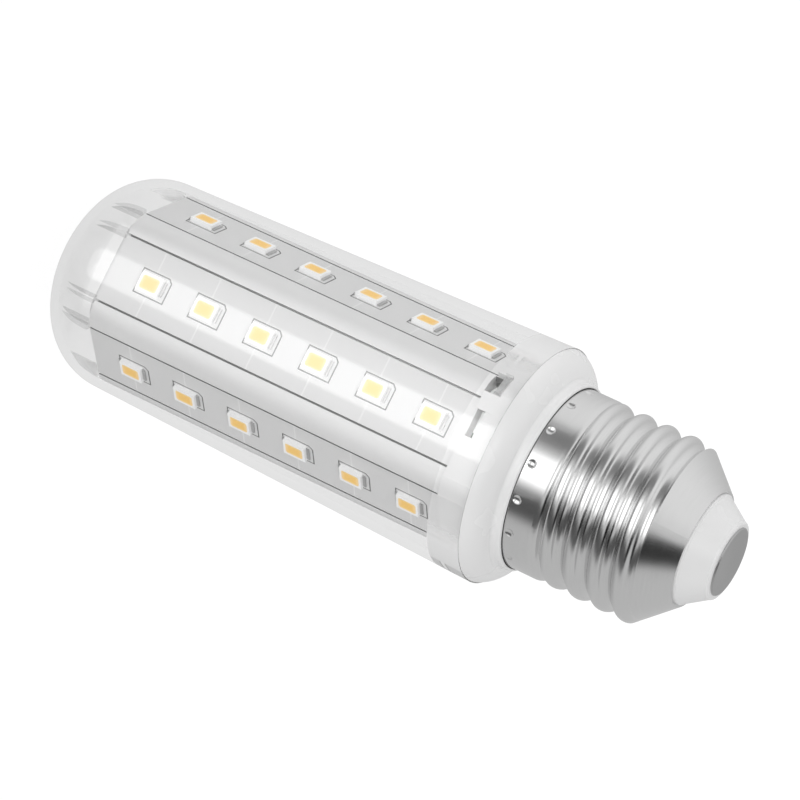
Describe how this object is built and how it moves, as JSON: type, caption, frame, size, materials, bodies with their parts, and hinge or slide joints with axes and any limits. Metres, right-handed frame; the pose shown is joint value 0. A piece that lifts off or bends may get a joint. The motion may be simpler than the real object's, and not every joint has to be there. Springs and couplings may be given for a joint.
{
  "type": "led corn bulb",
  "caption": "LED corn bulb: flat LED boards around a hexagonal core under a tapered clear cover, with a white collar and a metal screw cap.",
  "frame": {"origin": "centre of the flat head, the closed end of the cover, on which the bulb stands", "axes": "+Z along the bulb's axis from the head to the end contact; +X out of LED board 1"},
  "size_m": [0.0348, 0.0348, 0.1054],
  "materials": {
    "clear_cover": "clear moulded plastic, glossy",
    "collar_plastic": "white, softly glossy",
    "core_plastic": "white, glossy",
    "cap_metal": "nickel-plated, satin bright",
    "insulator": "white, glossy",
    "contact_metal": "dull metal",
    "board": "white coated laminate",
    "led_housing": "white",
    "phosphor": "yellow, satin",
    "terminal": "tinned",
    "driver_laminate": "green coated laminate",
    "capacitor_sleeve": "dark blue sleeve",
    "capacitor_case": "yellow case",
    "dark_plastic": "black moulding",
    "resistor_coat": "green coat",
    "lead_red": "red insulation",
    "lead_black": "black insulation"
  },
  "bodies": {
    "root": {"clear_cover": "clear_cover", "collar": "collar_plastic", "screw_shell": "cap_metal", "cap_insulator": "insulator", "end_contact": "contact_metal", "core": "core_plastic", "end_board": "board", "driver_board": "driver_laminate", "smoothing_capacitor": "capacitor_sleeve", "line_capacitor": "capacitor_case", "inductor": "dark_plastic", "bridge_rectifier": "dark_plastic", "driver_chip": "dark_plastic", "fuse_resistor": "resistor_coat", "live_lead": "lead_red", "neutral_lead": "lead_black", "led_lead_positive": "lead_red", "led_lead_negative": "lead_black", "led_board_1": "board", "led_housings_1": "led_housing", "led_phosphors_1": "phosphor", "led_terminals_1": "terminal", "led_board_2": "board", "led_housings_2": "led_housing", "led_phosphors_2": "phosphor", "led_terminals_2": "terminal", "led_board_3": "board", "led_housings_3": "led_housing", "led_phosphors_3": "phosphor", "led_terminals_3": "terminal", "led_board_4": "board", "led_housings_4": "led_housing", "led_phosphors_4": "phosphor", "led_terminals_4": "terminal", "led_board_5": "board", "led_housings_5": "led_housing", "led_phosphors_5": "phosphor", "led_terminals_5": "terminal", "led_board_6": "board", "led_housings_6": "led_housing", "led_phosphors_6": "phosphor", "led_terminals_6": "terminal"}
  },
  "joints": []
}
